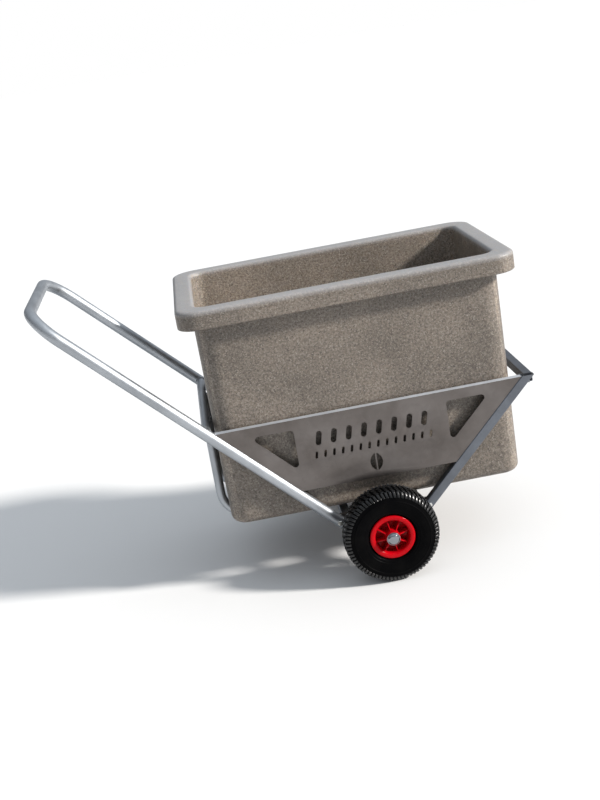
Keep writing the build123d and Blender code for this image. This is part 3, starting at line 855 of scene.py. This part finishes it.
for side in SIDES:
    plate = eased_copy("side_plate_" + side, 0.35, 3.5, along_fold)
    # the plate takes the sheet finish, whose tone is partly painted shade
    sheet = add_object("side_sheet_" + side, plate, SHEET_ZINC_PAINTED_SHADE, 30)
    # the fold's top gets the painted highlight
    paint_fold_highlight(sheet)
    place_piece(sheet, "frame", "side_plate_" + side)
    bracket = eased_copy("axle_bracket_" + side, 0.5, 0.5)
    place_piece(add_object("axle_plate_" + side, bracket, SHEET_ZINC_PAINTED_SHADE, 30),
                "frame", "axle_bracket_" + side)

# %% [markdown]
# ## Weld beads
# The frame is welded, and a weld is a raised, rippled seam.  One geometry tree lays it: the
# seam's line is cut into short steps, the bead swells and shrinks a little at each step in
# time with the welder's hand, and a small circle is swept along.  It needs only a line.
# Bars are welded all round, but a long weld would warp a thin plate, so each side plate is
# held by short stitches on its inner side.

# %% A tree that lays a weld bead
def weld_tree():
    tree, given = start_tree("weld_bead", [
        ("Width", "NodeSocketFloat", 0.005), ("Ripple", "NodeSocketFloat", 0.0028),
        ("Step", "NodeSocketFloat", 0.0009), ("Seed", "NodeSocketFloat", 3.0),
        ("Material", "NodeSocketMaterial", None)])
    line = add_node(tree, "GeometryNodeMeshToCurve", {"Mesh": given["Geometry"]}).outputs[0]
    steps = add_node(tree, "GeometryNodeResampleCurve", {"Curve": line, "Length": given["Step"]},
                     mode="LENGTH").outputs[0]
    along = add_node(tree, "GeometryNodeSplineParameter").outputs["Length"]
    turns = sum_up(tree, "MULTIPLY", sum_up(tree, "DIVIDE", along, given["Ripple"]), 2 * math.pi)
    wave = sum_up(tree, "MULTIPLY", sum_up(tree, "SINE", turns), 0.10)
    uneven = add_node(tree, "ShaderNodeTexNoise", {
        "W": sum_up(tree, "ADD", given["Seed"], along), "Scale": 110.0, "Detail": 1.0},
        noise_dimensions="1D").outputs[0]
    size = sum_up(tree, "ADD", sum_up(tree, "ADD", wave, 0.82),
                  sum_up(tree, "MULTIPLY", uneven, 0.36))
    circle = add_node(tree, "GeometryNodeCurvePrimitiveCircle", {
        "Resolution": 8, "Radius": sum_up(tree, "DIVIDE", given["Width"], 2.0)}).outputs[0]
    bead = add_node(tree, "GeometryNodeCurveToMesh", {
        "Curve": steps, "Profile Curve": circle, "Scale": size, "Fill Caps": True}).outputs[0]
    return end_tree(tree, bead, given["Material"])


def lay_beads(name, paths, width):
    """One piece with a bead along every path; a path is (points, closed)."""
    chains = bmesh.new()
    for points, closed in paths:
        verts = [chains.verts.new(Vector(p) * MM) for p in points]
        for a, b in zip(verts, verts[1:] + (verts[:1] if closed else [])):
            chains.edges.new((a, b))
    source = bpy.data.meshes.new(name + "_lines")
    chains.to_mesh(source)
    chains.free()
    mesh = tidy_mesh(grow(name, WELD, source, Width=width * MM, Seed=3.0 + len(paths),
                          Material=WELD_ZINC))
    piece = add_object(name, mesh, WELD_ZINC, 60)
    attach(piece, "frame")
    print(name, "has", len(mesh.polygons), "faces on", len(paths), "seams")
    return piece


WELD = weld_tree()
print("tree", WELD.name, "has", len(WELD.nodes), "nodes")

# %% Where the frame is welded
HALF_BAR = 12.5                          # half of a 25 mm tube, square or round
STITCHES = (268, 314, 360, 406, 444)     # heights where the short welds of a side plate start
STITCH = 18                              # how much higher each of them ends
PLATE_INSIDE = 280.4                     # y of the stitches, in the corner behind the plate
BAR_END, MEMBER_END = 261, 255           # y where the front bar and the cross members end
MEMBERS = (-100, 100)                    # x of the cross members, from the axle


def saddle_points(sign, count=48):
    """Seam where the rear bar meets a handle leg: the bar's circle pushed out to the leg."""
    points = []
    for k in range(count):
        angle = 2 * math.pi * k / count
        dx, dz = 12.9 * math.cos(angle), 12.9 * math.sin(angle)
        off_axis = (dx + dz) / math.sqrt(2)       # distance from the leg's middle line
        reach = math.sqrt(max(0.0, (HANDLE_TUBE / 2) ** 2 - off_axis ** 2))
        points.append((AX - (RING_TOP - APEX_Z) + dx, sign * (LEG_Y - reach), RING_TOP + dz))
    return points


def plate_seams(sign):
    """Stitches that hold a side plate to the handle leg and to the strut."""
    seams = []
    for low in STITCHES:
        stitch = (low, low + STITCH)
        seams.append([(AX - (h - APEX_Z) + 11.4, sign * PLATE_INSIDE, h + 10.4) for h in stitch])
        seams.append([(AX + (h - APEX_Z) - 9.4, sign * PLATE_INSIDE, h + 8.4) for h in stitch])
    return [(seam, False) for seam in seams]


def front_bar_seam(sign):
    """The seam runs down behind the front bar's end and along under it."""
    bar_x = AX + (RING_TOP - APEX_Z) + HALF_BAR * math.sqrt(2) - HALF_BAR
    bar_z = RING_TOP - HALF_BAR
    corners = [(bar_x - HALF_BAR, bar_z + 10), (bar_x - HALF_BAR, bar_z - HALF_BAR),
               (bar_x + 4, bar_z - HALF_BAR)]
    return [([(x, sign * BAR_END, z) for x, z in corners], False)]


def member_seams(sign):
    """Round the end of each cross member, and on both sides of the cradle tube above it."""
    z, near, far = CRADLE_Z - HALF_BAR, 11, HALF_BAR
    square = [(-far, -near), (-far, near), (-near, far), (near, far),
              (far, near), (far, -near), (near, -far), (-near, -far)]
    seams = []
    for member_x in MEMBERS:
        x = AX + member_x
        seams.append(([(x + dx, sign * MEMBER_END, z - HALF_BAR + dz) for dx, dz in square], True))
        for edge in (-6.5, 6.5):
            seams.append(([(x - 11, sign * CRADLE_Y + edge, z + 1.4),
                           (x + 11, sign * CRADLE_Y + edge, z + 1.4)], False))
    return seams


def cradle_seam(sign, radius=12.6, count=32):
    """Round the top of a cradle tube, where it meets the underside of the rear bar."""
    top = []
    for k in range(count):
        angle = 2 * math.pi * k / count
        dx, dy = radius * math.cos(angle), radius * math.sin(angle)
        drop = math.sqrt(max(0.0, radius ** 2 - (dx + 4) ** 2))
        top.append((AX - CRADLE_X + dx, sign * CRADLE_Y + dy, RING_TOP - drop))
    return [(top, True)]


seams = []
for sign in SIDES.values():
    seams += ([(saddle_points(sign), True)] + plate_seams(sign) + front_bar_seam(sign)
              + member_seams(sign) + cradle_seam(sign))
lay_beads("weld_beads", seams, width=4.6)

# %% [markdown]
# ## Bolts and nuts
# Eight hexagon bolts hold the two axle brackets.  A bolt is made once, as a small mesh with a
# chamfered head and a shank, and a tree puts a copy at each point, turned to face away from
# the middle of the cart.  The nuts go through the same tree, turned the other way.

# %% Fastener shapes
ACROSS_FLATS, CHAMFER = 13, 0.9     # of an M8 bolt's head and of its nut
SHANK_RADIUS = 3.9


def hexagon_piece(height):
    """Hexagon prism from y = 0 to y = height with a chamfered outer face."""
    corner = ACROSS_FLATS / math.sqrt(3)
    levels = [(0.0, corner), (height - CHAMFER, corner), (height, corner - CHAMFER * 1.6)]
    points, faces = [], []
    for y, radius in levels:
        for k in range(6):
            angle = math.pi / 3 * k
            points.append((radius * math.cos(angle) * MM, y * MM,
                           radius * math.sin(angle) * MM))
    for i in range(2):
        for k in range(6):
            n = (k + 1) % 6
            faces.append((i * 6 + k, i * 6 + n, (i + 1) * 6 + n, (i + 1) * 6 + k))
    faces += [tuple(range(6)), tuple(range(12, 18))]
    return tidy_mesh(new_mesh("hexagon", points, faces))


def join_meshes(name, *meshes):
    """One mesh with the faces of all, in their order."""
    work = bmesh.new()
    for mesh in meshes:
        work.from_mesh(mesh)
    made = bpy.data.meshes.new(name)
    work.to_mesh(made)
    work.free()
    return made


def bolt_mesh():
    """Head outwards along +Y, seated at y = 0; the shank runs to the nut's side."""
    shank = [(-31, 0.01, 0), (-31, SHANK_RADIUS, 0.6), (0.5, SHANK_RADIUS, 0), (0.5, 0.01, 0)]
    return join_meshes("bolt", hexagon_piece(5),
                       lathe("shank", eased_outline(shank, 2), (0, 0, 0), 20))


def nut_mesh():
    """Nut that sits at y = 0 and reaches inwards, with the thread of the bolt showing."""
    turns = [(0.5 * k, SHANK_RADIUS - 0.35 * (k % 2), 0) for k in range(1, 18)]
    thread = ([(0, 0.01, 0), (0, SHANK_RADIUS, 0)] + turns + [(9, 3.2, 0), (9, 0.01, 0)])
    return join_meshes("nut", hexagon_piece(6.5),
                       lathe("thread", eased_outline(thread, 2), (0, 0, 0), 20))


print("a bolt has", len(bolt_mesh().polygons), "faces")

# %% A tree that puts a fastener at each point
def fastener_tree():
    tree, given = start_tree("one_at_each_point", [
        ("Fastener", "NodeSocketObject", None), ("Facing", "NodeSocketFloat", 1.0),
        ("Material", "NodeSocketMaterial", None)])
    place = add_node(tree, "ShaderNodeSeparateXYZ", {
        0: add_node(tree, "GeometryNodeInputPosition").outputs[0]}).outputs["Y"]
    outward = sum_up(tree, "SIGN", sum_up(tree, "MULTIPLY", place, given["Facing"]))
    half_turn = sum_up(tree, "MULTIPLY", sum_up(tree, "SUBTRACT", 1.0, outward), math.pi / 2)
    spin = sum_up(tree, "MULTIPLY", add_node(tree, "GeometryNodeInputIndex").outputs[0], 0.9)
    angles = add_node(tree, "ShaderNodeCombineXYZ", {"Y": spin, "Z": half_turn}).outputs[0]
    turn = add_node(tree, "FunctionNodeEulerToRotation", {0: angles}).outputs[0]
    shape = add_node(tree, "GeometryNodeObjectInfo", {
        "Object": given["Fastener"]}).outputs["Geometry"]
    seats = add_node(tree, "GeometryNodeMeshToPoints", {"Mesh": given["Geometry"]}).outputs[0]
    copies = add_node(tree, "GeometryNodeInstanceOnPoints", {
        "Points": seats, "Instance": shape, "Rotation": turn}).outputs[0]
    return end_tree(tree, copies, given["Material"])


FASTENERS = fastener_tree()
print("tree", FASTENERS.name, "has", len(FASTENERS.nodes), "nodes")

# %% Bolt the brackets on
BOLT_HEIGHTS = (161, 108)         # heights of the two bolts at each end of a bracket
HEADS_Y = (LEG_Y + 16, 286)       # where heads sit: on the leg and on the strut
NUTS_Y = (255, 255)               # where nuts sit: on the bracket's inner face


def bolt_seats(leg_y, strut_y):
    """Where the fasteners sit: both ends of both brackets, at two heights."""
    seats = []
    for sign in SIDES.values():
        for height in BOLT_HEIGHTS:
            seats.append((AX - (height - APEX_Z), sign * leg_y, height))
            seats.append((AX + (height - APEX_Z), sign * strut_y, height))
    return seats


for name, shape, seats, facing, node in (
        ("bracket_bolt_set", bolt_mesh(), bolt_seats(*HEADS_Y), 1.0, "bracket_bolts"),
        ("bracket_nut_set", nut_mesh(), bolt_seats(*NUTS_Y), -1.0, "bracket_nuts")):
    pattern = bpy.data.objects.new(name + "_pattern", shape)
    points = new_mesh(name + "_points", [Vector(p) * MM for p in seats], [])
    mesh = grow(name, FASTENERS, points, Fastener=pattern, Facing=facing, Material=BOLT_ZINC)
    bpy.data.objects.remove(pattern)
    place_piece(add_object(name, mesh, BOLT_ZINC, 30), "frame", node)

# %% [markdown]
# ## Tyres
# A small barrow tyre is a smooth turned casing with rows of rubber blocks round it: long
# lugs that lean over each shoulder and shorter, slanting blocks on the crown.  The casing is
# turned.  The blocks are one small mesh, and a tree sets a row of them round the wheel.

# %% Casing of the tyre
WHEEL_STEPS = 112     # faces round a turned part of the wheel


def wheel_middle(side):
    return (AXLE.x, WHEEL_Y[side], AXLE.z)


def tyre_casing(side):
    """Closed outline: outer face with its sidewall rings, then back along the inside."""
    bead = [(27.5, 50, 0), (27.5, 61, 1.5), (36.2, 66.5, 2), (38.0, 70.5, 1)]
    rings = [(38.2, 73.2, 0.3), (39.2, 74.0, 0.3), (39.4, 76.2, 0.4), (39.6, 78.5, 3),
             (41.2, 86, 6), (41.6, 95, 8), (41.3, 100.6, 0.3), (42.0, 101.4, 0.3),
             (41.4, 102.6, 0.3), (40.6, 104, 1)]
    shoulder = [(38.4, 112.0, 5), (33.5, 119.5, 6), (23, 125.4, 8)]
    half = bead + rings + shoulder
    mirrored = [(-across, radius, ease) for across, radius, ease in reversed(half)]
    inside = [(-19, 50, 0), (-20, 62, 3), (-33, 82, 8), (-35, 94, 8), (-26, 116, 10),
              (0, 120, 20), (26, 116, 10), (35, 94, 8), (33, 82, 8), (20, 62, 3), (19, 50, 0)]
    outline = eased_outline(half + [(0, 127.6, 40)] + mirrored + inside, steps=3)
    return lathe("casing", outline, wheel_middle(side), WHEEL_STEPS)


print("the casing is turned round", [round(v, 4) for v in wheel_middle("right")])

# %% One tread block
SUNK = 2.0     # how deep a block's foot reaches into the casing


def tread_block(length, width, height, lean, taper=0.8):
    """Low rubber block on the XY plane: X round the wheel, Y across, Z outwards.
    lean slides its far end round the wheel; taper narrows its top."""
    points, faces = [], []
    stations = (-0.5, -0.38, 0.38, 0.5)
    for s in stations:
        top = height * (0.55 if abs(s) == 0.5 else 1.0)
        for x, z in ((-0.5, -SUNK), (-0.5, top * 0.7), (-0.5 * taper, top),
                     (0.5 * taper, top), (0.5, top * 0.7), (0.5, -SUNK)):
            points.append(((x * length + lean * s) * MM, s * width * MM, z * MM))
    ring = 6
    for i in range(len(stations) - 1):
        for k in range(ring):
            n = (k + 1) % ring
            faces.append((i * ring + k, i * ring + n, (i + 1) * ring + n, (i + 1) * ring + k))
    faces += [tuple(range(ring)), tuple(range(len(points) - ring, len(points)))]
    return tidy_mesh(new_mesh("tread_block", points, faces))


print("a block has", len(tread_block(6.3, 17, 2.0, 3.0).polygons), "faces")

# %% A tree that sets a row round the wheel
def turned_about(tree, axis, angle):
    """Rotation by an angle about one axis."""
    angles = add_node(tree, "ShaderNodeCombineXYZ", {axis: angle}).outputs[0]
    return add_node(tree, "FunctionNodeEulerToRotation", {0: angles}).outputs[0]


def row_tree():
    tree, given = start_tree("row_round_wheel", [
        ("Block", "NodeSocketObject", None), ("Count", "NodeSocketInt", 60),
        ("Radius", "NodeSocketFloat", 0.12), ("Across", "NodeSocketFloat", 0.0),
        ("Phase", "NodeSocketFloat", 0.0), ("Tilt", "NodeSocketFloat", 0.0),
        ("Middle", "NodeSocketVector", (0.0, 0.0, 0.0)), ("Material", "NodeSocketMaterial", None)])
    line = add_node(tree, "GeometryNodeMeshLine", {"Count": given["Count"]}).outputs[0]
    index = add_node(tree, "GeometryNodeInputIndex").outputs[0]
    step = sum_up(tree, "DIVIDE", sum_up(tree, "ADD", index, given["Phase"]), given["Count"])
    angle = sum_up(tree, "MULTIPLY", step, 2 * math.pi)
    spot = add_node(tree, "ShaderNodeCombineXYZ", {
        "X": sum_up(tree, "MULTIPLY", sum_up(tree, "COSINE", angle), given["Radius"]),
        "Y": given["Across"],
        "Z": sum_up(tree, "MULTIPLY", sum_up(tree, "SINE", angle), given["Radius"])}).outputs[0]
    placed = add_node(tree, "GeometryNodeSetPosition", {
        "Geometry": line, "Position": spot}).outputs[0]
    around = turned_about(tree, "Y", sum_up(tree, "SUBTRACT", math.pi / 2, angle))
    turn = add_node(tree, "FunctionNodeRotateRotation", {
        "Rotation": around, "Rotate By": turned_about(tree, "X", given["Tilt"])},
        rotation_space="LOCAL").outputs[0]
    shape = add_node(tree, "GeometryNodeObjectInfo", {"Object": given["Block"]}).outputs["Geometry"]
    copies = add_node(tree, "GeometryNodeInstanceOnPoints", {
        "Points": placed, "Instance": shape, "Rotation": turn}).outputs[0]
    moved = add_node(tree, "GeometryNodeTransform", {
        "Geometry": copies, "Translation": given["Middle"]}).outputs[0]
    return end_tree(tree, moved, given["Material"])


ROW = row_tree()


def row_of(shape, side, material, count, radius, across, phase=0.0, tilt=0.0):
    """A row of one shape round a wheel, as a plain mesh."""
    pattern = bpy.data.objects.new("pattern", shape)
    seed = new_mesh("seed", [(0, 0, 0)], [])
    mesh = grow("row", ROW, seed, Block=pattern, Count=count, Radius=radius * MM,
                Across=across * MM, Phase=phase, Tilt=tilt, Middle=wheel_middle(side),
                Material=material)
    bpy.data.objects.remove(pattern)
    return mesh


print("tree", ROW.name, "has", len(ROW.nodes), "nodes")

# %% Put the tyres together
LUGS = 72                                           # blocks round each shoulder
CROWN_BLOCKS = 54                                   # blocks in each of the three rows between
LUG_TILT, STEP_TILT = math.radians(52), math.radians(14)     # how far a row leans outwards


def make_tyre(side):
    """Casing first, then the rows; every face after the casing's belongs to the tread."""
    parts = [tyre_casing(side)]
    for hand in (-1, 1):
        lug = tread_block(6.3, 17, 2.0, lean=3.0 * hand, taper=0.78)
        parts.append(row_of(lug, side, TREAD_RUBBER, LUGS, 119.6, hand * 33.6,
                            phase=0.0 if hand < 0 else 0.5, tilt=-hand * LUG_TILT))
        step = tread_block(8.2, 13, 1.9, lean=6.5 * hand)
        parts.append(row_of(step, side, TREAD_RUBBER, CROWN_BLOCKS, 126.5, hand * 18.2,
                            phase=0.25, tilt=-hand * STEP_TILT))
    ridge = tread_block(8.6, 16, 2.0, lean=-8.0)
    parts.append(row_of(ridge, side, TREAD_RUBBER, CROWN_BLOCKS, 127.8, 0.0, phase=0.6))
    tyre = add_object("treaded_tyre_" + side, join_meshes("tyre_" + side, *parts), RUBBER, 32)
    tyre.data.materials.append(TREAD_RUBBER)
    for face in tyre.data.polygons[len(parts[0].polygons):]:
        face.material_index = 1
    return place_piece(tyre, "wheel_" + side, "tyre_" + side)


for side in SIDES:
    make_tyre(side)

# %% [markdown]
# ## Rims
# The red rim is one moulding: a barrel that ends in a thick, rounded flange, a web across its
# middle, a hub, and eight thin ribs that slope from hub to barrel on both faces.  Barrel, web
# and hub are turned as one outline.  The ribs repeat, so the tree that set the tread sets them.

# %% Shapes of the rim
RIBS = 8
TURN = 11.5 / 360 * RIBS     # how far the wheel has rolled, in steps from rib to rib
HALF_RIB = 1.4               # half of a rib's thickness


def rim_outline():
    """One face from the tyre's seat over the flange to the hub, then its mirror image."""
    flange = [(28, 50, 0), (28, 59.5, 0.8), (29.2, 60.8, 1.2), (35.2, 60.4, 2.2), (36, 55, 4),
              (35.2, 49.2, 3.2), (32, 46.3, 1.5)]
    web_and_hub = [(3.2, 45.4, 2), (3.2, 21, 2), (34, 19.2, 0.6), (44, 19, 0.8), (44, 14, 0)]
    face = flange + web_and_hub
    other = [(-along, radius, ease) for along, radius, ease in reversed(face)]
    return eased_outline(face + other, steps=4)


def rib_shape():
    """Thin rib between hub and barrel; Z is outwards from the wheel's axis."""
    outline = [(17.5, 3.0), (17.5, 34.5), (24, 33.0), (45.9, 25.5), (46.6, 3.0)]
    points = [(x * MM, y * MM, z * MM) for x in (-HALF_RIB, HALF_RIB) for z, y in outline]
    count = len(outline)
    faces = [tuple(range(count)), tuple(range(count, 2 * count))]
    faces += [(k, (k + 1) % count, count + (k + 1) % count, count + k) for k in range(count)]
    return finish_with(tidy_mesh(new_mesh("rib", points, faces)), ("BEVEL", {
        "width": 0.7 * MM, "segments": 2, "angle_limit": math.radians(30)}))


def mirrored_across(mesh):
    """The same shape on the other face of the wheel, with its faces turned back outwards."""
    copy = mesh.copy()
    copy.transform(Matrix.Scale(-1, 4, (0, 1, 0)))
    copy.flip_normals()
    return copy


print("the rim's outline has", len(rim_outline()), "points")

# %% Mould the rims
def make_rim(side):
    body = lathe("rim_body", rim_outline(), wheel_middle(side), WHEEL_STEPS)
    ribs = [row_of(shape, side, RIM_RED, RIBS, 0.0, 0.0, phase=0.5 - TURN)
            for shape in (rib_shape(), mirrored_across(rib_shape()))]
    rim = add_object("moulded_rim_" + side, join_meshes("rim", body, *ribs), RIM_RED, 32)
    return place_piece(rim, "wheel_" + side, "rim_" + side)


for side in SIDES:
    make_rim(side)

# %% [markdown]
# ## Axle caps and valves
# A chromed cap is pushed on each end of the axle: a thin flange with a dome.  The valve and
# its cap are the CAD's own, and stand in one pocket of each rim, towards the frame.

# %% Caps
CAP_Y = 392     # where the hub ends and a cap's outline starts


def make_caps():
    flange = [(2.5, 10, 0), (2.5, 18, 0.4), (4.0, 18, 0.7), (4.4, 16.2, 0.5)]
    dome = [(6.2, 15.9, 1.5), (10.2, 12.2, 4.0), (11.45, 5.5, 8.0), (11.5, 0.01, 0)]
    hollow = [(8.0, 0.01, 0), (8.0, 10, 0.5)]
    caps = []
    for sign in SIDES.values():
        outline = [(sign * along, radius)
                   for along, radius in eased_outline(flange + dome + hollow, steps=5)]
        caps.append(lathe("cap", outline, (AXLE.x, sign * CAP_Y * MM, AXLE.z), 64))
    piece = add_object("domed_caps", join_meshes("domed_caps", *caps), CHROME, 50)
    return place_piece(piece, "frame", "axle_caps")


make_caps()
